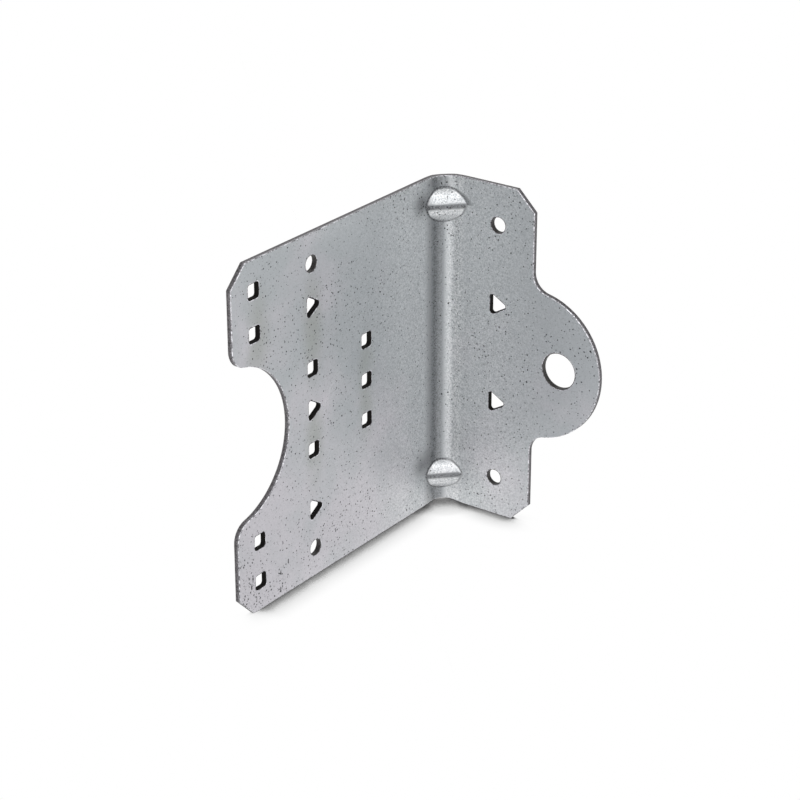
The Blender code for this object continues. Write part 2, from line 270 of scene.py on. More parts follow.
@dataclass(frozen=True)
class Studio:
    """White floor, even room light and soft lamps.

    The shadow's lean is the direction that it is gathered along, and its tones go from covered to open paper.
    Each relief is a near and a far distance with the share of the shadow that is left at the near one.
    """

    aim: tuple[float, float, float] = (0.0, 0.0, 0.05)
    floor_size: float = 6.0
    room_light: float = 0.15
    paper: float = 0.8
    shadow_samples: int = 16
    shadow_reach: float = 0.012
    shadow_lean: tuple[float, float, float] = (0.45, 0.45, 0.77)
    shadow_tones: Curve = (
        (0.38, 0.06), (0.425, 0.12), (0.442, 0.23), (0.452, 0.36), (0.465, 0.49), (0.49, 0.61), (0.53, 0.71),
        (0.59, 0.81), (0.68, 0.885), (0.80, 0.97), (0.88, 1.0),
    )
    corner_relief: tuple[float, float, float] = (0.002, 0.010, 0.76)
    end_relief: tuple[float, float, float] = (-0.0450, -0.0395, 0.62)
    lamps: tuple[SoftLamp, ...] = (
        SoftLamp("left_low_softbox", 200.0, 12.0, 1.0, 0.65, 0.65, 2.7),
        SoftLamp("left_high_softbox", 180.0, 40.0, 1.0, 0.65, 0.65, 2.2),
        SoftLamp("right_low_softbox", 285.0, 12.0, 1.0, 0.65, 0.65, 1.6),
        SoftLamp("right_high_softbox", 300.0, 50.0, 1.0, 0.65, 0.65, 1.9),
        SoftLamp("front_high_softbox", 235.0, 50.0, 1.0, 0.65, 1.1, 1.4),
        SoftLamp("back_softbox", 45.0, 35.0, 1.0, 0.65, 0.65, 1.5),
        SoftLamp("overhead_softbox", 234.0, 82.0, 1.0, 0.65, 0.65, 0.9),
    )

    def contact_shadow(self, tree: bpy.types.NodeTree) -> bpy.types.NodeSocket:
        """Adds the tone of the paper close to the clip.

        The tone comes from how much of the clip stands over a point, seen along a direction that leans behind
        the clip, so the shadow falls on its open side. It is relieved inside the fold, where both legs shade
        the paper, and at the wide leg's free end, which is cut away above the paper.

        Args:
            tree: the floor's nodes.

        Returns:
            The tone, 1 where the paper is clear.
        """
        direction = add_node(tree, "ShaderNodeCombineXYZ", dict(enumerate(self.shadow_lean)))
        lean = add_node(tree, "ShaderNodeVectorMath", {"operation": "NORMALIZE"}, {0: direction.outputs[0]})
        openness = add_node(tree, "ShaderNodeAmbientOcclusion", {
            "samples": self.shadow_samples, "Distance": self.shadow_reach,
        }, {"Normal": lean.outputs["Vector"]})
        covered = add_node(tree, "ShaderNodeMath", {"operation": "SUBTRACT", 0: 1.0}, {
            1: openness.outputs["AO"],
        })
        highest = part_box("stud_clip")[1]
        place = add_node(tree, "ShaderNodeTexCoord").outputs["Object"]
        sideways = add_node(tree, "ShaderNodeVectorMath", {
            "operation": "DOT_PRODUCT", 1: (1.0 / DIAGONAL, -1.0 / DIAGONAL, 0.0),
        }, {0: place})
        from_middle = add_node(tree, "ShaderNodeMath", {
            "operation": "SUBTRACT", 1: (highest.x - highest.y) / DIAGONAL,
        }, {0: sideways.outputs["Value"]})
        aside = add_node(tree, "ShaderNodeMath", {"operation": "ABSOLUTE"}, {0: from_middle.outputs[0]})
        along = add_node(tree, "ShaderNodeSeparateXYZ", links={0: place})
        relieved = covered.outputs[0]
        for (near, far, least), distance in (
            (self.corner_relief, aside.outputs[0]), (self.end_relief, along.outputs["X"]),
        ):
            relief = add_node(tree, "ShaderNodeMapRange", {
                "interpolation_type": "SMOOTHSTEP", **dict(zip(RANGE, (near, far, least, 1.0))),
            }, {"Value": distance})
            relieved = add_node(tree, "ShaderNodeMath", {"operation": "MULTIPLY"}, {
                0: relieved, 1: relief.outputs["Result"],
            }).outputs[0]
        clear = add_node(tree, "ShaderNodeMath", {"operation": "SUBTRACT", 0: 1.0}, {1: relieved})
        shadow = add_node(tree, "ShaderNodeValToRGB", links={"Fac": clear.outputs[0]})
        ramp = shadow.color_ramp
        for place_on_ramp, _ in self.shadow_tones[1:-1]:
            ramp.elements.new(place_on_ramp)
        for element, (place_on_ramp, shade) in zip(ramp.elements, self.shadow_tones):
            element.position = place_on_ramp
            element.color = (shade, shade, shade, 1.0)
        return shadow.outputs["Color"]

    def floor_material(self) -> bpy.types.Material:
        """Builds white seamless paper, seen with the clip's soft shadow by the camera and plain by metal.

        Returns:
            The material.
        """
        material = empty_material("seamless_white_paper")
        tree = material.node_tree
        rays = add_node(tree, "ShaderNodeLightPath")
        tone = add_node(tree, "ShaderNodeMix", {"data_type": "RGBA", 6: (1.0,) * 4}, {
            0: rays.outputs["Is Camera Ray"], 7: self.contact_shadow(tree),
        })
        bright_paper = add_node(tree, "ShaderNodeEmission", {"Strength": 1.0}, {"Color": tone.outputs[2]})
        lit_paper = add_node(tree, "ShaderNodeBsdfDiffuse", {"Color": (*(self.paper,) * 3, 1.0)})
        seen = add_node(tree, "ShaderNodeMath", {"operation": "ADD"}, {
            0: rays.outputs["Is Camera Ray"], 1: rays.outputs["Is Glossy Ray"],
        })
        seen_or_through = add_node(tree, "ShaderNodeMath", {"operation": "ADD", "use_clamp": True}, {
            0: seen.outputs[0], 1: rays.outputs["Is Transmission Ray"],
        })
        mixed = add_node(tree, "ShaderNodeMixShader", links={
            0: seen_or_through.outputs[0], 1: lit_paper.outputs[0], 2: bright_paper.outputs[0],
        })
        add_node(tree, "ShaderNodeOutputMaterial", links={"Surface": mixed.outputs[0]})
        return material

    def build(self) -> None:
        """Adds the floor, the room light and the lamps, and shows colours as they are written."""
        bpy.context.scene.view_settings.view_transform = "Standard"
        deselect_all()
        bpy.ops.mesh.primitive_plane_add(size=self.floor_size, location=(0.0, 0.0, 0.0))
        floor = bpy.context.object
        floor.name = "studio_floor"
        floor.data.materials.append(self.floor_material())
        world = bpy.data.worlds.new("studio_room")
        world.use_nodes = True
        tree = world.node_tree
        tree.nodes.clear()
        room = add_node(tree, "ShaderNodeBackground", {"Color": (1.0,) * 4, "Strength": self.room_light})
        add_node(tree, "ShaderNodeOutputWorld", links={"Surface": room.outputs[0]})
        bpy.context.scene.world = world
        for lamp in self.lamps:
            lamp.build(Vector(self.aim))


@dataclass(frozen=True)
class Marks:
    """Scattered dark marks: their mean spacing and largest radius in millimetres, and how dark they are."""

    spacing: float
    radius: float
    share: float


@dataclass(frozen=True)
class GalvanisedSheet:
    """Hot-dip galvanised sheet, dulled by handling.

    The zinc has a soft grey sheen with faint cool and lilac clouds, painted lighter and more lilac towards
    the wide leg's free lower corner, dull oily patches by the hole columns, dark pits and dirt specks in
    loose clusters with short scuffs near the wide leg's foot, and a fine grain. Painted shade darkens it in
    the fold, along the gusset crests, beside the upper gusset, in the creases and in the dents, and a painted
    highlight makes it paler and less metallic across the fold, on the gusset flanks and on the legs beside
    the fold. An oil patch is its middle along X, its height, and its reach in both directions, in metres.
    Each range maps its first two numbers, mostly levels of a noise, onto its last two.
    """

    cool_zinc: str = "B0B4B7"
    lilac_zinc: str = "C1BFC4"
    # Colours of the painted shade and of the painted highlight.
    painted_shade_zinc: str = "58595B"
    painted_highlight_zinc: str = "FFFFFF"
    oiled_zinc: str = "9A9E98"
    dirt: str = "222225"
    # Metal that is a little milky, and milkier where the highlight is painted.
    metallic: Range = (0.0, 1.0, 0.75, 0.60)
    roughness: Range = (0.3, 0.7, 0.34, 0.42)
    # Clouds as wide as the pale patches in the zinc. Towards the wide leg's free lower corner the zinc is
    # painted lighter and more lilac: painted light on the lower part of the legs.
    cloud_width: float = 26.0
    lower_corner_drift: tuple[float, float, float] = (-9.0, 0.0, -9.0)
    cloud_start: float = 0.75
    cloud_contrast: float = 3.2
    # Real grain is finer, so it is drawn as coarse as the render can show.
    grain_width: float = 0.45
    grain_tones: Range = (0.25, 0.75, 0.90, 1.10)
    grain_strength: float = 0.35
    grain_height: float = 0.02
    # How the grain breaks up the painted shade and the painted highlight.
    painted_shade_grain: Range = (0.38, 0.62, 0.6, 1.35)
    painted_highlight_grain: Range = (0.38, 0.62, 0.0, 1.8)
    oil_share: float = 0.60
    oil_mottle: Range = (0.30, 0.50, 0.0, 1.0)
    oil_fade: Range = (0.1, 1.0, 1.0, 0.0)
    oil_patches: tuple[tuple[float, float, float, float], ...] = (
        (-0.0400, 0.0850, 0.0085, 0.0200), (-0.0150, 0.0790, 0.0065, 0.0250),
        (0.0100, 0.0520, 0.0060, 0.0230), (-0.0150, 0.0430, 0.0060, 0.0200),
    )
    flecks: Marks = Marks(0.88, 0.17, 0.60)
    scuffs: Marks = Marks(1.9, 0.30, 0.90)
    pits: Marks = Marks(1.34, 0.275, 1.0)
    mark_edge: Range = (0.70, 1.0, 1.0, 0.0)
    scuff_stretch: float = 0.28
    scuff_angle: float = 35.0
    scuff_growth: tuple[float, float] = (6.0, 0.05)
    cluster_width: float = 17.0
    cluster_sizes: Range = (0.36, 0.64, 0.70, 1.04)
    soiled_growth: Range = (-0.20, 0.30, 0.0, 0.18)
    wobble_width: float = 0.35
    wobble_reach: float = 0.6

    def mark_mask(self, tree: bpy.types.NodeTree, place: bpy.types.NodeSocket, marks: Marks,
                  growth: bpy.types.NodeSocket) -> bpy.types.NodeSocket:
        """Adds a mask of scattered round-ish marks.

        Args:
            tree: the material's nodes.
            place: the coordinates, in metres.
            marks: the kind of mark.
            growth: factor on the marks' radius.

        Returns:
            The mask, as dark as such a mark is inside one and 0 outside.
        """
        cells = add_node(tree, "ShaderNodeTexVoronoi", {
            "Scale": 1.0 / (marks.spacing * MILLIMETRE),
        }, {"Vector": place})
        reach = add_node(tree, "ShaderNodeMath", {"operation": "MULTIPLY", 1: marks.radius / marks.spacing}, {
            0: growth,
        })
        nearness = add_node(tree, "ShaderNodeMath", {"operation": "DIVIDE"}, {
            0: cells.outputs["Distance"], 1: reach.outputs[0],
        })
        inside = add_node(tree, "ShaderNodeMapRange", dict(zip(RANGE, self.mark_edge)), {
            "Value": nearness.outputs[0],
        })
        return add_node(tree, "ShaderNodeMath", {"operation": "MULTIPLY", 1: marks.share}, {
            0: inside.outputs["Result"],
        }).outputs[0]

    def dirt_masks(self, tree: bpy.types.NodeTree, place: bpy.types.NodeSocket, drift: bpy.types.NodeSocket,
                   clumps: bpy.types.NodeSocket) -> list[bpy.types.NodeSocket]:
        """Adds the masks of flecks, scuffs and pits, which grow in clumps and towards the wide leg's foot.

        Args:
            tree: the material's nodes.
            place: the coordinates, in metres.
            drift: how far a point is towards the wide leg's free lower corner.
            clumps: noise that gathers the marks.

        Returns:
            The masks.
        """
        loose = add_node(tree, "ShaderNodeMapRange", dict(zip(RANGE, self.cluster_sizes)), {"Value": clumps})
        soiled = add_node(tree, "ShaderNodeMapRange", dict(zip(RANGE, self.soiled_growth)), {"Value": drift})
        growth = add_node(tree, "ShaderNodeMath", {"operation": "ADD"}, {
            0: loose.outputs["Result"], 1: soiled.outputs["Result"],
        }).outputs[0]
        wobble = add_node(tree, "ShaderNodeTexNoise", {
            "Scale": 1.0 / (self.wobble_width * MILLIMETRE), "Detail": 1.0,
        }, {"Vector": place})
        uneven = add_node(tree, "ShaderNodeVectorMath", {
            "operation": "MULTIPLY_ADD", 1: (self.wobble_reach * MILLIMETRE,) * 3,
        }, {0: wobble.outputs["Color"], 2: place}).outputs["Vector"]
        dragged = add_node(tree, "ShaderNodeMapping", {
            "Rotation": (0.0, math.radians(self.scuff_angle), 0.0), "Scale": (1.0, 1.0, self.scuff_stretch),
        }, {"Vector": uneven}).outputs["Vector"]
        # The least size stays above 0, because a mark's distance is divided by it.
        steepness, least = self.scuff_growth
        scuff_growth = add_node(tree, "ShaderNodeMath", {
            "operation": "MULTIPLY_ADD", 1: steepness, 2: least,
        }, {0: soiled.outputs["Result"]}).outputs[0]
        return [
            self.mark_mask(tree, uneven, self.flecks, growth),
            self.mark_mask(tree, dragged, self.scuffs, scuff_growth),
            self.mark_mask(tree, uneven, self.pits, growth),
        ]

    def oil_mask(self, tree: bpy.types.NodeTree, place: bpy.types.NodeSocket,
                 clumps: bpy.types.NodeSocket) -> bpy.types.NodeSocket:
        """Adds a mask of the dull patches that the punching oil left round the wide leg's hole columns.

        Args:
            tree: the material's nodes.
            place: the coordinates, in metres.
            clumps: noise that breaks the patches up.

        Returns:
            The mask.
        """
        nearest = None
        for middle, height, width, reach in self.oil_patches:
            spread = add_node(tree, "ShaderNodeVectorMath", {
                "operation": "MULTIPLY_ADD", 1: (1.0 / width, 0.0, 1.0 / reach),
                2: (-middle / width, 0.0, -height / reach),
            }, {0: place})
            away = add_node(tree, "ShaderNodeVectorMath", {"operation": "LENGTH"}, {
                0: spread.outputs["Vector"],
            }).outputs["Value"]
            nearest = away if nearest is None else add_node(tree, "ShaderNodeMath", {
                "operation": "MINIMUM",
            }, {0: nearest, 1: away}).outputs[0]
        patch = add_node(tree, "ShaderNodeMapRange", {
            "interpolation_type": "SMOOTHSTEP", **dict(zip(RANGE, self.oil_fade)),
        }, {"Value": nearest}).outputs["Result"]
        stain = add_node(tree, "ShaderNodeMapRange", dict(zip(RANGE, self.oil_mottle)), {"Value": clumps})
        mottled = add_node(tree, "ShaderNodeMath", {"operation": "MULTIPLY"}, {
            0: patch, 1: stain.outputs["Result"],
        })
        return add_node(tree, "ShaderNodeMath", {"operation": "MULTIPLY", 1: self.oil_share}, {
            0: mottled.outputs[0],
        }).outputs[0]

    def cloudy_zinc(self, tree: bpy.types.NodeTree, place: bpy.types.NodeSocket, drift: bpy.types.NodeSocket,
                    grain: bpy.types.NodeSocket) -> bpy.types.NodeSocket:
        """Adds the clean zinc's colour, painted lighter and more lilac towards the wide leg's free lower
        corner.

        Args:
            tree: the material's nodes.
            place: the coordinates, in metres.
            drift: how far a point is towards the wide leg's free lower corner.
            grain: fine noise that lightens and darkens the colour.

        Returns:
            The colour.
        """
        clouds = add_node(tree, "ShaderNodeTexNoise", {
            "Scale": 1.0 / (self.cloud_width * MILLIMETRE), "Detail": 3.0, "Roughness": 0.6,
        }, {"Vector": place})
        # Painted light: the drift raises the lighter, lilac share towards the wide leg's free lower corner.
        start = add_node(tree, "ShaderNodeMath", {
            "operation": "ADD", 1: self.cloud_start - self.cloud_contrast / 2,
        }, {0: drift})
        lilac_share = add_node(tree, "ShaderNodeMath", {
            "operation": "MULTIPLY_ADD", "use_clamp": True, 1: self.cloud_contrast,
        }, {0: clouds.outputs["Fac"], 2: start.outputs[0]})
        zinc = add_node(tree, "ShaderNodeMix", {
            "data_type": "RGBA", 6: linear_colour(self.cool_zinc), 7: linear_colour(self.lilac_zinc),
        }, {0: lilac_share.outputs[0]})
        shade = add_node(tree, "ShaderNodeMapRange", dict(zip(RANGE, self.grain_tones)), {"Value": grain})
        return add_node(tree, "ShaderNodeVectorMath", {"operation": "SCALE"}, {
            0: zinc.outputs[2], "Scale": shade.outputs["Result"],
        }).outputs["Vector"]

    def painted_light_mask(self, tree: bpy.types.NodeTree, name: str, grain_spread: Range,
                  grain: bpy.types.NodeSocket) -> bpy.types.NodeSocket:
        """Adds a mask of painted shade or painted highlight, as a point attribute says, broken up by the
        grain.

        Args:
            tree: the material's nodes.
            name: the attribute's name.
            grain_spread: how the grain scales the painted shade or highlight.
            grain: fine noise.

        Returns:
            The mask.
        """
        marked = add_node(tree, "ShaderNodeAttribute", {"attribute_name": name})
        scale = add_node(tree, "ShaderNodeMapRange", dict(zip(RANGE, grain_spread)), {"Value": grain})
        return add_node(tree, "ShaderNodeMath", {"operation": "MULTIPLY", "use_clamp": True}, {
            0: marked.outputs["Fac"], 1: scale.outputs["Result"],
        }).outputs[0]

    def material(self) -> bpy.types.Material:
        """Builds the finish.

        Returns:
            The material.
        """
        material = empty_material("hot_dip_galvanised_sheet")
        tree = material.node_tree
        place = add_node(tree, "ShaderNodeTexCoord").outputs["Object"]
        drift = add_node(tree, "ShaderNodeVectorMath", {"operation": "DOT_PRODUCT", 1: self.lower_corner_drift}, {
            0: place,
        }).outputs["Value"]
        clumps = add_node(tree, "ShaderNodeTexNoise", {
            "Scale": 1.0 / (self.cluster_width * MILLIMETRE), "Detail": 2.0,
        }, {"Vector": place}).outputs["Fac"]
        grain = add_node(tree, "ShaderNodeTexNoise", {
            "Scale": 1.0 / (self.grain_width * MILLIMETRE), "Detail": 3.0, "Roughness": 0.7,
        }, {"Vector": place}).outputs["Fac"]
        # Painted highlight and painted shade, read from the clip's points and broken up by the grain.
        painted_highlight = self.painted_light_mask(tree, "painted_highlight", self.painted_highlight_grain, grain)
        painted_shade = self.painted_light_mask(tree, "painted_shade", self.painted_shade_grain, grain)
        colour = self.cloudy_zinc(tree, place, drift, grain)
        layers = [
            (self.oiled_zinc, self.oil_mask(tree, place, clumps)), (self.painted_highlight_zinc, painted_highlight),
            (self.painted_shade_zinc, painted_shade),
        ]
        layers += [(self.dirt, mask) for mask in self.dirt_masks(tree, place, drift, clumps)]
        for hex_colour, mask in layers:
            colour = add_node(tree, "ShaderNodeMix", {"data_type": "RGBA", 7: linear_colour(hex_colour)}, {
                0: mask, 6: colour,
            }).outputs[2]
        bump = add_node(tree, "ShaderNodeBump", {
            "Strength": self.grain_strength, "Distance": self.grain_height * MILLIMETRE,
        }, {"Height": grain})
        rough = add_node(tree, "ShaderNodeMapRange", dict(zip(RANGE, self.roughness)), {"Value": clumps})
        sheen = add_node(tree, "ShaderNodeMapRange", dict(zip(RANGE, self.metallic)), {"Value": painted_highlight})
        shader = add_node(tree, "ShaderNodeBsdfPrincipled", links={
            "Base Color": colour, "Metallic": sheen.outputs["Result"], "Roughness": rough.outputs["Result"],
            "Normal": bump.outputs["Normal"],
        })
        add_node(tree, "ShaderNodeOutputMaterial", links={"Surface": shader.outputs[0]})
        return material


@dataclass(frozen=True)
class CutSteel:
    """Bare cut through the sheet, left as sheared or punched.

    The cut is unplated steel, darker than the zinc, streaked by the tool and dull brown where it rusts.
    """

    name: str
    steel: str
    stain: str
    roughness: float
    streak_width: float = 0.5
    metallic: float = 0.8
    gloss: float = 0.5
    streaks: Range = (0.35, 0.65, 0.0, 1.0)
    streak_strength: float = 0.5
    streak_height: float = 0.03

    def material(self) -> bpy.types.Material:
        """Builds the finish.

        Returns:
            The material.
        """
        material = empty_material(self.name)
        tree = material.node_tree
        place = add_node(tree, "ShaderNodeTexCoord").outputs["Object"]
        streaks = add_node(tree, "ShaderNodeTexNoise", {
            "Scale": 1.0 / (self.streak_width * MILLIMETRE), "Detail": 3.0, "Roughness": 0.6,
        }, {"Vector": place}).outputs["Fac"]
        spread = add_node(tree, "ShaderNodeMapRange", dict(zip(RANGE, self.streaks)), {"Value": streaks})
        colour = add_node(tree, "ShaderNodeMix", {
            "data_type": "RGBA", 6: linear_colour(self.steel), 7: linear_colour(self.stain),
        }, {0: spread.outputs["Result"]})
        bump = add_node(tree, "ShaderNodeBump", {
            "Strength": self.streak_strength, "Distance": self.streak_height * MILLIMETRE,
        }, {"Height": streaks})
        shader = add_node(tree, "ShaderNodeBsdfPrincipled", {
            "Metallic": self.metallic, "Roughness": self.roughness, "Specular IOR Level": self.gloss,
        }, {"Base Color": colour.outputs[2], "Normal": bump.outputs["Normal"]})
        add_node(tree, "ShaderNodeOutputMaterial", links={"Surface": shader.outputs[0]})
        return material


CUT_FINISHES = {
    # Zinc painted bright as a highlight where the sheet rolls in under the punch: a thin pale line round each
    # cut.
    Zone.ROLLED_RIM: CutSteel("rim_painted_highlight", "EDEDF2", "4E4C50", 0.34, streak_width=0.6, metallic=0.5),
    # Steel torn out at the back of a cut: a thin lip, dull, and nearly black as painted shade outlining the
    # cut.
    Zone.BURR: CutSteel("torn_burr_painted_shade", "2C2A2B", "1C1A1B", 0.6, metallic=0.3),
    # Steel that the tool slid along: a mid grey band with a soft shine.
    Zone.BURNISHED_CUT: CutSteel("burnished_steel_cut", "88868A", "484649", 0.42, metallic=0.5),
    # Steel that broke off: a band that is rougher and darker than the burnished one.
    Zone.FRACTURED_CUT: CutSteel("fractured_steel_cut", "767376", "3C3A3B", 0.6, metallic=0.5),
    # Wall of a square or three-cornered hole: black, with no shine.
    Zone.PUNCHED_WALL: CutSteel("punched_steel_wall", "161413", "0C0B0A", 0.8, metallic=0.0, gloss=0.15),
    # Wall of a round hole: dark grey, lighter than that of a cornered one.
    Zone.ROUND_WALL: CutSteel("round_punched_wall", "484646", "2A2827", 0.5, metallic=0.5),
}


def arc(centre: tuple[float, float], radius: float, start: float, end: float, steps: int) -> Outline:
    """Points on a circle between two angles, both included.

    Args:
        centre: the circle's centre.
        radius: its radius.
        start: first angle in radians.
        end: last angle in radians.
        steps: how many chords the arc has.

    Returns:
        The points in order.
    """
    angles = np.linspace(start, end, steps + 1)
    return [(centre[0] + radius * math.cos(angle), centre[1] + radius * math.sin(angle)) for angle in angles]


def soft_larger(first: np.ndarray, second: np.ndarray, blend: float) -> np.ndarray:
    """The larger of two fields, rounded off where they differ by less than the blend."""
    overlap = np.maximum(blend - np.abs(first - second), 0.0)
    return np.maximum(first, second) + overlap**2 / (4.0 * blend)


@dataclass(frozen=True)
class RoundHole:
    """A round punched hole in a leg, placed from the corner line and from the middle of the fold."""

    distance: float
    height: float
    diameter: float
    steps: int = 40

    def outline(self, opened: float) -> Outline:
        """Outline of the hole where its rim has opened by a distance."""
        radius = self.diameter / 2 + opened
        return arc((self.distance, self.height), radius, 0.0, 2 * math.pi, self.steps)[:-1]


@dataclass(frozen=True)
class CorneredHole:
    """A square or three-cornered punched hole in a leg, with rounded corners."""

    distance: float
    height: float
    sides: int
    side: float
    first_corner: float
    corner_radius: float = 0.00080
    corner_steps: int = 6

    def outline(self, opened: float) -> Outline:
        """Draws the hole where its rim has opened by a distance.

        Args:
            opened: the distance, outwards from the hole's own wall.

        Returns:
            The outline's points in order.
        """
        inner_radius = self.side / (2 * math.tan(math.pi / self.sides))
        reach = (inner_radius - self.corner_radius) / math.cos(math.pi / self.sides)
        points = []
        for corner in range(self.sides):
            angle = self.first_corner + 2 * math.pi * corner / self.sides
            middle = (self.distance + reach * math.cos(angle), self.height + reach * math.sin(angle))
            half_turn = math.pi / self.sides
            points += arc(middle, self.corner_radius + opened, angle - half_turn, angle + half_turn,
                          self.corner_steps)
        return points


@dataclass(frozen=True)
class LegOutline:
    """The outline that a leg is trimmed to: a straight edge with an ear or a scallop, and cut outer corners.

    The edge and the centre of the ear or scallop are distances from the corner line.
    """

    edge: float
    centre: float
    radius: float
    outward: bool
    half_height: float
    fillet: float = 0.0060
    corner_cut: float = 0.0062
    past: float = 0.006
    fillet_steps: int = 16
    arc_steps: int = 90

    def outline(self, opened: float) -> Outline:
        """Draws the leg where its rim has drawn back by a distance.

        Args:
            opened: the distance, inwards from the leg's own edge.

        Returns:
            The outline's points in order.
        """
        side = 1 if self.outward else -1
        edge = self.edge - opened
        radius = self.radius - side * opened
        fillet = self.fillet + side * opened
        fillet_distance = edge + side * fillet
        fillet_height = math.sqrt((radius + fillet) ** 2 - (self.centre - fillet_distance) ** 2)
        meeting = math.atan2(fillet_height, fillet_distance - self.centre)
        straight = math.pi if self.outward else 2 * math.pi
        upper = arc((fillet_distance, fillet_height), fillet, straight, meeting + math.pi, self.fillet_steps)
        last = -meeting if self.outward else 2 * math.pi - meeting
        middle = arc((self.centre, 0.0), radius, meeting, last, self.arc_steps)[1:-1]
        lower = [(distance, -height) for distance, height in reversed(upper)]
        top = self.half_height + self.past
        cut_line = self.edge + self.half_height - self.corner_cut - DIAGONAL * opened
        start = cut_line - top
        end = cut_line - edge
        return [(-self.past, top), (start, top), (edge, end)] + upper + middle + lower + [
            (edge, -end), (start, -top), (-self.past, -top),
        ]


@dataclass
class StudClip:
    """The clip: one folded sheet with gussets, holes, a scallop and an ear.

    A dent is its distance along the wide leg, its height and its depth, and its reach is away from the fold,
    towards it and along it. Each curve of painted shade or painted highlight goes from 0, none, to 1. It is
    read over the distance across the fold, which fold_shade and fold_highlight take as a share of the fold's
    radius, or over the height above a gusset's crest in crest_shade and flank_highlight. side_shade is read
    over how far the gusset's wedge stands off the plain fold.
    """

    thickness: float = 0.00172
    fold_radius: float = 0.0048
    fold_length: float = 0.1070
    wide_leg: float = 0.09855
    scallop_radius: float = 0.02406
    scallop_past_edge: float = 0.0003
    narrow_leg: float = 0.03245
    ear_radius: float = 0.02340
    ear_past_edge: float = 0.0004
    anchor_diameter: float = 0.0111
    anchor_past_edge: float = 0.00975
    round_diameter: float = 0.0048
    square_side: float = 0.0044
    triangle_side: float = 0.0070
    wide_edge_distance: float = 0.0095
    wide_end_distance: float = 0.00905
    column_pitch: float = 0.0254
    row_pitch: float = 0.0127
    narrow_round_edge_distance: float = 0.0125
    narrow_triangle_edge_distance: float = 0.0128
    narrow_round_end_distance: float = 0.0124
    narrow_triangle_height: float = 0.01588
    gusset_heights: tuple[float, float] = (-0.0436, 0.0449)
    gusset_depths: tuple[float, float] = (0.0056, 0.0061)
    dome_heights: tuple[float, float] = (0.0042, 0.00475)
    dome_slope: float = 0.25
    dome_power: float = 2.5
    dome_end: float = 0.985
    lower_flank_slope: float = 0.40
    knee_below_crest: float = 0.0034
    foot_slope: float = 1.10
    knee_blend: float = 0.0006
    crest_radius: float = 0.0010
    punch_nose_radius: float = 0.0003
    root_blend: float = 0.0006
    end_draw: float = 0.0004
    end_draw_reach: float = 0.0070
    end_draw_span: tuple[float, float] = (0.92, 0.08)
    dents: tuple[tuple[float, float, float], ...] = ((0.0108, 0.0465, 0.00034), (0.0104, -0.0386, 0.00026))
    dent_reach: tuple[float, float, float] = (0.0034, 0.0036, 0.0034)
    dent_fade: float = 0.006
    margin: float = 0.004
    clearance: float = 0.00002
    roll_over: float = 0.00022
    hole_rim: tuple[float, float] = (0.00045, 0.00012)
    roll_steps: int = 3
    burr: float = 0.00020
    burnished_share: float = 0.42
    fold_steps: int = 28
    # Painted shade on the fold's side towards the wide leg, and painted highlight on its side towards the
    # narrow leg.
    fold_shade: Curve = (
        (-1.40, 0.0), (-1.20, 0.17), (-1.05, 0.34), (-0.86, 0.47), (-0.58, 0.70), (-0.36, 0.57),
        (-0.12, 0.50), (0.0, 0.32), (0.08, 0.15), (0.2, 0.05), (0.3, 0.0),
    )
    fold_highlight: Curve = (
        (0.0, 0.0), (0.2, 0.15), (0.5, 0.30), (0.7, 0.36), (0.85, 0.22), (1.0, 0.12), (1.2, 0.0),
    )
    # Painted shade along each gusset's crest, and painted highlight on its flanks, faded towards the narrow
    # leg by flank_fade.
    crest_shade: Curve = ((-0.0014, 0.0), (-0.0007, 0.75), (0.0002, 0.75), (0.0008, 0.0))
    flank_highlight: Curve = (
        (-0.0085, 0.0), (-0.0060, 0.45), (-0.0042, 0.55), (-0.0032, 0.38), (-0.0014, 0.38), (0.0004, 0.0),
        (0.0008, 0.30), (0.0025, 0.34), (0.0035, 0.46), (0.006, 0.5), (0.008, 0.0),
    )
    flank_fade: Curve = ((0.0046, 1.0), (0.0058, 0.25))
    # Painted shade beside the upper gusset on the narrow leg, and painted highlight on the legs beside the
    # fold.
    side_shade: Curve = ((-0.0018, 0.0), (-0.0012, 0.45), (-0.0003, 0.60), (0.0002, 0.0))
    leg_highlight: Curve = ((0.0030, 0.0), (0.0045, 0.22), (0.0140, 0.20), (0.0300, 0.0))
    raised_least: float = 0.0003
    inner_share: float = 0.3
    gusset_reach: float = 0.009
    # Painted shade in the creases round the gussets, above their domes and in the dents beside them.
    crease_shade: float = 0.65
    crease_width: float = 0.00030
    dome_crease: tuple[float, float] = (0.0006, 0.60)
    dent_shade: float = 0.75
    wide_fine_reach: float = 0.034
    narrow_fine_reach: float = 0.0145
    close_reach: float = 0.013
    fine_step: float = 0.0003
    coarse_step: float = 0.0015
    gusset_rows: tuple[tuple[float, float], tuple[float, float]] = ((-0.0518, -0.0365), (0.0360, 0.0520))
    fine_row: float = 0.0002
    end_row: float = 0.0006
    middle_row: float = 0.0030
    anchor_steps: int = 72
    sharp_angle: float = 35.0

    @property
    def half_height(self) -> float:
        """Half the fold's length."""
        return self.fold_length / 2

    @property
    def ear_reach(self) -> float:
        """Distance from the corner line to the ear's far end."""
        return self.narrow_leg + self.ear_past_edge + self.ear_radius

    @property
    def corner(self) -> Vector:
        """Place of the corner line at mid-height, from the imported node's box."""
        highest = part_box("stud_clip")[1]
        return Vector((highest.x - self.thickness, highest.y - self.thickness, self.half_height))

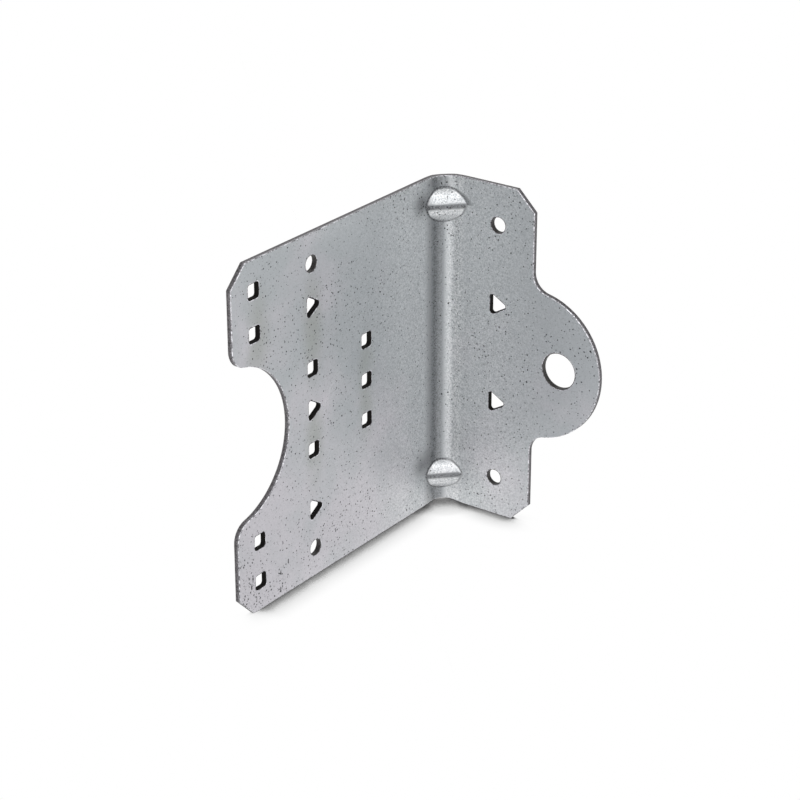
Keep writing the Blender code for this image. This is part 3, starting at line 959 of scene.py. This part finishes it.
    def fold_depth(self, across: np.ndarray, offset: np.ndarray | float) -> np.ndarray:
        """Depth of a face of the folded sheet, without the gussets.

        Args:
            across: distance across the fold, positive to the narrow leg.
            offset: distance outwards from the inner face.

        Returns:
            Depth from the corner line.
        """
        radius = self.fold_radius + offset
        curved = np.abs(across) < radius / DIAGONAL
        arc_depth = DIAGONAL * self.fold_radius - np.sqrt(np.where(curved, radius**2 - across**2, 0.0))
        return np.where(curved, arc_depth, np.abs(across) - DIAGONAL * offset)

    def gusset_depth(self, height: np.ndarray, offset: np.ndarray | float) -> np.ndarray:
        """Depth of the nearer pressed gusset at a height: a domed flank above its crest, a flat one below.

        Args:
            height: height from the middle of the fold.
            offset: distance outwards from the inner face.

        Returns:
            Depth from the corner line.
        """
        upper_one = height > sum(self.gusset_heights) / 2
        above = height - np.where(upper_one, self.gusset_heights[1], self.gusset_heights[0])
        depth = np.where(upper_one, self.gusset_depths[1], self.gusset_depths[0])
        dome_height = np.where(upper_one, self.dome_heights[1], self.dome_heights[0])
        crest_slope = self.dome_slope * depth / dome_height
        sharpness = ((crest_slope + self.lower_flank_slope) / 2) ** 2
        nose = sharpness * np.where(offset == 0.0, self.crest_radius, self.punch_nose_radius)
        crest = depth + sharpness * self.crest_radius
        # The dome ends just below its top, where its slope would be endless.
        rise = np.clip(above / dome_height, 0.0, self.dome_end)
        bow = np.sqrt(1.0 - rise**self.dome_power)
        bow_slope = self.dome_power * rise ** (self.dome_power - 1.0) / (2.0 * bow)
        taper = 1.0 - self.dome_slope * rise
        dome = crest * (taper * bow - self.dome_slope * np.minimum(above / dome_height, 0.0))
        dome_slope = crest / dome_height * (self.dome_slope * bow + taper * bow_slope)
        upper = dome - np.hypot(1.0, dome_slope) * offset
        lower = crest + self.lower_flank_slope * above - math.hypot(1.0, self.lower_flank_slope) * offset
        knee = crest - self.lower_flank_slope * self.knee_below_crest
        foot = knee + self.foot_slope * (above + self.knee_below_crest)
        foot = foot - math.hypot(1.0, self.foot_slope) * offset
        wedge = (upper + lower) / 2 - np.hypot((upper - lower) / 2, nose)
        return -soft_larger(-wedge, -foot, self.knee_blend)

    def pull_in(self, across: np.ndarray, height: np.ndarray) -> np.ndarray:
        """Works out how far the wide leg is pulled in beside and above each gusset.

        Args:
            across: distance across the fold, positive to the narrow leg.
            height: height from the middle of the fold.

        Returns:
            The dents' depth.
        """
        along = -DIAGONAL * across
        pulled = np.zeros_like(across)
        for place, dent_height, amount in self.dents:
            reach = np.where(along > place, self.dent_reach[0], self.dent_reach[1])
            side = np.exp(-(((along - place) / reach) ** 2))
            pulled += amount * side * np.exp(-(((height - dent_height) / self.dent_reach[2]) ** 2))
        fade = np.clip((self.wide_fine_reach - along) / self.dent_fade, 0.0, 1.0)
        return np.where(along > 0.0, pulled, 0.0) * fade * fade * (3 - 2 * fade)

    def place_face(self, across: np.ndarray, height: np.ndarray, offset: np.ndarray) -> np.ndarray:
        """Places of a face's points, given across the fold and along it.

        Args:
            across: distance across the fold, positive to the narrow leg.
            height: height from the middle of the fold.
            offset: distance outwards, 0 on the inner face and the sheet's thickness on the outer one.

        Returns:
            An array with one row of x, y and z for each point.
        """
        plain = self.fold_depth(across, offset)
        pressed = soft_larger(plain, self.gusset_depth(height, offset), self.root_blend)
        depth = pressed + self.pull_in(across, height)
        fade = np.cos(math.pi / 2 * np.minimum(np.abs(across) / self.end_draw_reach, 1.0)) ** 2
        start, share = self.end_draw_span
        near_end = np.clip((np.abs(height) - start * self.half_height) / (share * self.half_height), 0.0, 1.0)
        drawn = height - np.sign(height) * self.end_draw * fade * near_end**2
        places = np.stack(((across - depth) / DIAGONAL, (-across - depth) / DIAGONAL, drawn), axis=1)
        return places + np.array(self.corner)

    def columns(self, offset: float) -> np.ndarray:
        """Lays out a face's mesh lines along the fold, close together over the fold and the gussets.

        Args:
            offset: distance outwards from the inner face.

        Returns:
            The lines' places across the fold, from the wide leg's end to the narrow leg's.
        """
        turns = np.linspace(0.0, math.pi / 4, self.fold_steps // 2 + 1)
        over_fold = (self.fold_radius + offset) * np.sin(turns)
        halves = []
        for reach, end in ((self.wide_fine_reach, self.wide_leg), (self.narrow_fine_reach, self.ear_reach)):
            near = np.arange(self.fold_radius + self.fine_step, min(reach, self.close_reach), self.fine_step)
            far = np.arange(near[-1] + self.coarse_step, reach, self.coarse_step)
            over_leg = np.concatenate((near, far, [reach, end + self.margin]))
            halves.append(np.concatenate((over_fold, (over_leg + offset) / DIAGONAL)))
        return np.concatenate((-halves[0][:0:-1], halves[1]))

    def end_lines(self, zone: Zone) -> list[tuple[float, float, Zone]]:
        """Profile of the sheet's upper cut edge, from a face's rounded border inwards.

        Args:
            zone: the face.

        Returns:
            For each mesh line past the flat: how far below the end it lies, its distance outwards, and the
            zone of the band that it ends.
        """
        turns = np.linspace(0.0, math.pi / 2, self.roll_steps + 1)[1:]
        rounding = [(1 - math.sin(turn), 1 - math.cos(turn)) for turn in turns]
        if zone is Zone.INNER_FACE:
            rim = self.roll_over
            rolled = [(rim * lost, rim * past, Zone.ROLLED_RIM) for lost, past in rounding]
            return rolled + [(0.0, self.thickness * self.burnished_share, Zone.BURNISHED_CUT)]
        torn = [(self.burr * lost, self.thickness - self.burr * past, Zone.BURR) for lost, past in rounding]
        return torn + [(0.0, self.thickness * (1 + self.burnished_share) / 2, Zone.FRACTURED_CUT)]

    def rows(self, zone: Zone) -> tuple[np.ndarray, np.ndarray, list[Zone]]:
        """Mesh lines along the fold, finer over the gussets and rolled in at the ends.

        Args:
            zone: the face that the lines are for.

        Returns:
            The lines' heights, their distances outwards, and the zone of each band between two lines.
        """
        offset = 0.0 if zone is Zone.INNER_FACE else self.thickness
        end = self.half_height - (self.roll_over if zone is Zone.INNER_FACE else self.burr)
        (low_start, low_stop), (high_start, high_stop) = self.gusset_rows
        spans = (
            (-end, low_start, self.end_row), (low_start, low_stop, self.fine_row),
            (low_stop, high_start, self.middle_row), (high_start, high_stop, self.fine_row),
            (high_stop, end, self.end_row),
        )
        flat = [height for start, stop, step in spans
                for height in np.linspace(start, stop, round((stop - start) / step) + 1)[:-1]] + [end]
        past = self.end_lines(zone)
        heights = [lost - self.half_height for lost, _, _ in reversed(past)] + flat
        heights += [self.half_height - lost for lost, _, _ in past]
        outwards = [place for _, place, _ in past]
        bands = [band for _, _, band in past]
        offsets = outwards[::-1] + [offset] * len(flat) + outwards
        return np.array(heights), np.array(offsets), bands[::-1] + [zone] * (len(flat) - 1) + bands

    def add_face(self, zone: Zone) -> bpy.types.Object:
        """Adds one face of the sheet: a grid laid over fold and gussets, with each leg's flat as one polygon.

        Args:
            zone: the face to add.

        Returns:
            The face, with its normals out of the sheet.
        """
        heights, offsets, bands = self.rows(zone)
        columns = np.array([self.columns(offset) for offset in offsets])
        last_column = columns.shape[1] - 1
        face, column, row = add_zoned_grid(last_column, len(heights) - 1)
        mesh = face.data
        places = self.place_face(columns[row, column], heights[row], offsets[row])
        mesh.vertices.foreach_set("co", places.ravel())
        for collection in (mesh.edges, mesh.vertices):
            collection.foreach_set("select", [False] * len(collection))
        for polygon in mesh.polygons:
            band = bands[min(row[vertex] for vertex in polygon.vertices)]
            at_border = any(column[vertex] in (0, last_column) for vertex in polygon.vertices)
            polygon.material_index = int(band)
            polygon.select = band is zone and at_border
        bpy.ops.object.mode_set(mode="EDIT")
        bpy.ops.mesh.select_mode(type="FACE")
        bpy.ops.mesh.dissolve_faces()
        if zone is Zone.OUTER_FACE:
            bpy.ops.mesh.select_all(action="SELECT")
            bpy.ops.mesh.flip_normals()
        bpy.ops.object.mode_set(mode="OBJECT")
        return face

    def sheet(self) -> bpy.types.Object:
        """Adds the folded and pressed sheet before its legs are trimmed: two faces, bridged at their border.

        Returns:
            The sheet.
        """
        inner = self.add_face(Zone.INNER_FACE)
        outer = self.add_face(Zone.OUTER_FACE)
        make_active(inner)
        outer.select_set(True)
        bpy.ops.object.join()
        mesh = inner.data
        inner.name = mesh.name = "galvanised_stud_clip"
        bpy.ops.object.mode_set(mode="EDIT")
        bpy.ops.mesh.select_mode(type="EDGE")
        bpy.ops.mesh.select_all(action="DESELECT")
        bpy.ops.mesh.select_non_manifold()
        bpy.ops.mesh.bridge_edge_loops()
        bpy.ops.object.mode_set(mode="OBJECT")
        for polygon in mesh.polygons:
            if polygon.select:
                polygon.material_index = int(Zone.FRACTURED_CUT)
        LOG.info("sheet: %d faces", len(mesh.polygons))
        return inner

    def rim_levels(
        self, walls: tuple[Zone, Zone], far_in: float, rim: tuple[float, float]
    ) -> list[tuple[float, float, Zone]]:
        """Profile of a cut through the sheet, from inside the inner face to outside the outer one.

        Args:
            walls: zones of the cut wall's inner part, which the punch burnished, and of its torn outer part.
            far_in: how far inside the inner face the cutter starts.
            rim: width and depth of the rolled rim on the inner face.

        Returns:
            For each ring of a cutter: its place through the sheet, how far the rim has opened there, and the
            zone of the faces up to the next ring.
        """
        past = self.clearance
        width, depth = rim
        last_turn = math.pi / 2 / self.roll_steps
        lip = width + past * width / (depth * math.tan(last_turn / 2))
        levels = [(-far_in, lip, Zone.ROLLED_RIM), (-past, lip, Zone.ROLLED_RIM)]
        rolled = Zone.ROLLED_RIM if Zone.BURNISHED_CUT in walls else walls[0]
        for turn in np.linspace(math.pi / 2 - last_turn, last_turn, self.roll_steps - 1):
            levels.append((depth * (1 - math.sin(turn)), width * (1 - math.cos(turn)), rolled))
        levels.append((depth, 0.0, walls[0]))
        levels.append((self.thickness * self.burnished_share, 0.0, walls[1]))
        levels.append((self.thickness - self.burr, 0.0, Zone.BURR))
        levels.append((self.thickness + past, self.burr + past, Zone.BURR))
        levels.append((self.thickness + self.margin, self.burr + past, Zone.BURR))
        return levels

    def cutter(
        self, name: str, cuts: list, walls: tuple[Zone, Zone], leg: Matrix, far_in: float
    ) -> bpy.types.Object:
        """Makes one cutter with rolled rims from holes or an outline on a leg.

        Args:
            name: the cutter's name.
            cuts: the holes, or the leg's outline.
            walls: zones of the cut wall's inner and outer part.
            leg: the leg's frame, from distance along it, height and place through the sheet.
            far_in: how far inside the inner face the cutter starts.

        Returns:
            The cutter.
        """
        rim = (self.roll_over, self.roll_over) if Zone.BURNISHED_CUT in walls else self.hole_rim
        levels = self.rim_levels(walls, far_in, rim)
        tubes = []
        for cut in cuts:
            rings = np.array([
                [(distance, height, place) for distance, height in cut.outline(opened)]
                for place, opened, _ in levels
            ])
            around = rings.shape[1]
            tube, point, ring = add_zoned_grid(around, len(levels) - 1)
            tube.data.vertices.foreach_set("co", rings[ring, point % around].ravel())
            for polygon in tube.data.polygons:
                polygon.material_index = int(levels[min(ring[vertex] for vertex in polygon.vertices)][2])
            tube.data.transform(Matrix.Translation(self.corner) @ leg)
            bpy.ops.object.mode_set(mode="EDIT")
            bpy.ops.mesh.select_all(action="SELECT")
            bpy.ops.mesh.remove_doubles(threshold=CUTTER_DOUBLES)
            bpy.ops.mesh.fill_holes(sides=0)
            bpy.ops.mesh.select_all(action="SELECT")
            bpy.ops.mesh.normals_make_consistent(inside=False)
            bpy.ops.object.mode_set(mode="OBJECT")
            tubes.append(tube)
        make_active(tubes[0])
        for tube in tubes:
            tube.select_set(True)
        if len(tubes) > 1:
            bpy.ops.object.join()
        tubes[0].name = name
        return tubes[0]

    def wide_leg_holes(self) -> tuple[list, list]:
        """Places the wide leg's holes, in three columns.

        Returns:
            The cornered holes and the round ones.
        """
        outer = self.wide_leg - self.wide_edge_distance
        middle = outer - self.column_pitch
        inner = middle - self.column_pitch
        end_row = self.half_height - self.wide_end_distance
        second_row = end_row - self.row_pitch
        squares = [(inner, 0.0)]
        triangles = [(middle, 0.0)]
        rounds = []
        for up in (1, -1):
            squares += [(outer, up * end_row), (outer, up * second_row), (middle, up * self.row_pitch),
                        (inner, up * self.row_pitch)]
            triangles.append((middle, up * second_row))
            rounds.append(RoundHole(middle, up * end_row, self.round_diameter))
        cornered = [CorneredHole(*place, 4, self.square_side, math.pi / 4) for place in squares]
        cornered += [CorneredHole(*place, 3, self.triangle_side, math.pi) for place in triangles]
        return cornered, rounds

    def narrow_leg_holes(self) -> tuple[list, list]:
        """Places the narrow leg's holes, with the anchor hole in the ear.

        Returns:
            The cornered holes and the round ones.
        """
        distance = self.narrow_leg - self.narrow_triangle_edge_distance
        round_distance = self.narrow_leg - self.narrow_round_edge_distance
        end_row = self.half_height - self.narrow_round_end_distance
        cornered = []
        anchor_distance = self.narrow_leg + self.anchor_past_edge
        rounds = [RoundHole(anchor_distance, 0.0, self.anchor_diameter, self.anchor_steps)]
        for up in (1, -1):
            height = up * self.narrow_triangle_height
            cornered.append(CorneredHole(distance, height, 3, self.triangle_side, 0.0))
            rounds.append(RoundHole(round_distance, up * end_row, self.round_diameter))
        return cornered, rounds

    def trim(self, clip: bpy.types.Object) -> None:
        """Cuts the legs' outlines and the holes.

        Args:
            clip: the untrimmed sheet.
        """
        wide_frame = Matrix(((-1, 0, 0, 0), (0, 0, 1, 0), (0, 1, 0, 0), (0, 0, 0, 1)))
        narrow_frame = Matrix(((0, 0, 1, 0), (-1, 0, 0, 0), (0, 1, 0, 0), (0, 0, 0, 1)))
        scallop_centre = self.wide_leg + self.scallop_past_edge
        wide_outline = LegOutline(self.wide_leg, scallop_centre, self.scallop_radius, False, self.half_height)
        ear_centre = self.narrow_leg + self.ear_past_edge
        narrow_outline = LegOutline(self.narrow_leg, ear_centre, self.ear_radius, True, self.half_height)
        wide_cornered, wide_round = self.wide_leg_holes()
        narrow_cornered, narrow_round = self.narrow_leg_holes()
        edge = (Zone.BURNISHED_CUT, Zone.FRACTURED_CUT)
        cornered = (Zone.PUNCHED_WALL, Zone.PUNCHED_WALL)
        rounded = (Zone.ROUND_WALL, Zone.ROUND_WALL)
        jobs = (
            ("wide_leg_outline", [wide_outline], edge, wide_frame, self.ear_reach + self.margin),
            ("narrow_leg_outline", [narrow_outline], edge, narrow_frame, self.wide_leg + self.margin),
            ("wide_cornered_holes", wide_cornered, cornered, wide_frame, self.margin),
            ("wide_round_holes", wide_round, rounded, wide_frame, self.margin),
            ("narrow_cornered_holes", narrow_cornered, cornered, narrow_frame, self.margin),
            ("narrow_round_holes", narrow_round, rounded, narrow_frame, self.margin),
        )
        for name, cuts, walls, leg, far_in in jobs:
            tool = self.cutter(name, cuts, walls, leg, far_in)
            make_active(clip)
            step = clip.modifiers.new(name, "BOOLEAN")
            step.operation = "INTERSECT" if walls is edge else "DIFFERENCE"
            step.solver = "EXACT"
            step.material_mode = "INDEX"
            step.object = tool
            bpy.ops.object.modifier_apply(modifier=name)
            bpy.data.objects.remove(tool, do_unlink=True)
            LOG.info("%s: %d faces", name, len(clip.data.polygons))

    def paint_shade_and_highlight(self, clip: bpy.types.Object) -> None:
        """Writes two point attributes: where shade and where highlight are painted on the zinc.

        Args:
            clip: the trimmed clip.
        """
        places = places_of(clip.data) - np.array(self.corner)
        across = (places[:, 0] - places[:, 1]) / DIAGONAL
        depth = -(places[:, 0] + places[:, 1]) / DIAGONAL
        height = places[:, 2]
        plain_depth = self.fold_depth(across, 0.0)
        raised = depth - plain_depth
        upper_one = height > sum(self.gusset_heights) / 2
        above = height - np.where(upper_one, self.gusset_heights[1], self.gusset_heights[0])
        past_root = self.gusset_depth(height, 0.0) - plain_depth
        inner = raised > -self.inner_share * self.thickness
        in_fold = inner & (np.abs(raised) < self.raised_least)
        on_gusset = inner & (raised > self.raised_least) & (np.abs(above) < self.gusset_reach)
        beside_upper = inner & upper_one & (across > 0.0) & (above > self.raised_least)
        crease_reach, crease_dark = self.dome_crease
        lowered = self.gusset_depth(height - crease_reach, 0.0) > plain_depth
        over_dome = inner & (above > crease_reach) & lowered & (past_root < 0.0)
        turn = across / self.fold_radius
        creased = self.crease_shade * np.exp(-((past_root / self.crease_width) ** 2))
        dented = self.pull_in(across, height) / max(amount for _, _, amount in self.dents)
        # Painted shade: across the fold, along the gusset crests, beside the upper gusset, above the domes,
        # in the creases and in the dents.
        painted_shade = np.where(in_fold, curve_at(self.fold_shade, turn), 0.0)
        painted_shade += np.where(on_gusset, curve_at(self.crest_shade, above), 0.0)
        painted_shade += np.where(beside_upper, curve_at(self.side_shade, past_root), 0.0)
        painted_shade += np.where(over_dome, crease_dark, 0.0)
        painted_shade += np.where(inner, creased + self.dent_shade * dented, 0.0)
        # Painted highlight: on the gusset flanks, and elsewhere across the fold and on the legs beside it.
        flank = curve_at(self.flank_highlight, above) * curve_at(self.flank_fade, across)
        beside_fold = np.where(inner, curve_at(self.leg_highlight, np.abs(across)), 0.0)
        beside_fold += np.where(in_fold, curve_at(self.fold_highlight, turn), 0.0)
        painted_highlight = np.where(on_gusset, flank, beside_fold)
        for name, values in (("painted_shade", painted_shade), ("painted_highlight", painted_highlight)):
            attribute = clip.data.attributes.new(name, "FLOAT", "POINT")
            attribute.data.foreach_set("value", np.clip(values, 0.0, 1.0).astype(np.float32))

    def dress(self, clip: bpy.types.Object) -> None:
        """Gives each zone its finish and smooth shading.

        Args:
            clip: the trimmed clip, with its painted shade and highlight written on its points.
        """
        sheet = GalvanisedSheet().material()
        finishes = {Zone.INNER_FACE: sheet, Zone.OUTER_FACE: sheet}
        finishes.update((zone, finish.material()) for zone, finish in CUT_FINISHES.items())
        for zone, material in finishes.items():
            clip.data.materials[int(zone)] = material
            bpy.data.materials.remove(placeholder(zone))
        make_active(clip)
        bpy.ops.object.shade_smooth_by_angle(angle=math.radians(self.sharp_angle))
        weighted = clip.modifiers.new("even_normals", "WEIGHTED_NORMAL")
        weighted.keep_sharp = True
        bpy.ops.object.modifier_apply(modifier="even_normals")

    def build(self) -> bpy.types.Object:
        """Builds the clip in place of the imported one.

        Returns:
            The finished clip.
        """
        clip = self.sheet()
        self.trim(clip)
        make_active(clip)
        bpy.ops.object.mode_set(mode="EDIT")
        bpy.ops.mesh.select_all(action="SELECT")
        bpy.ops.mesh.remove_doubles(threshold=CLIP_DOUBLES)
        bpy.ops.object.mode_set(mode="OBJECT")
        self.paint_shade_and_highlight(clip)
        self.dress(clip)
        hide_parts("stud_clip")
        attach(clip, "root")
        return clip


def main() -> None:
    """Builds the camera, the studio and the clip, and reports each."""
    logging.basicConfig(level=logging.INFO, format="%(name)s: %(message)s")
    PhotoCamera().build()
    LOG.info("camera placed")
    Studio().build()
    LOG.info("studio lit")
    clip = StudClip().build()
    LOG.info("%s: %d faces", clip.name, len(clip.data.polygons))


if __name__ == "__main__":
    main()
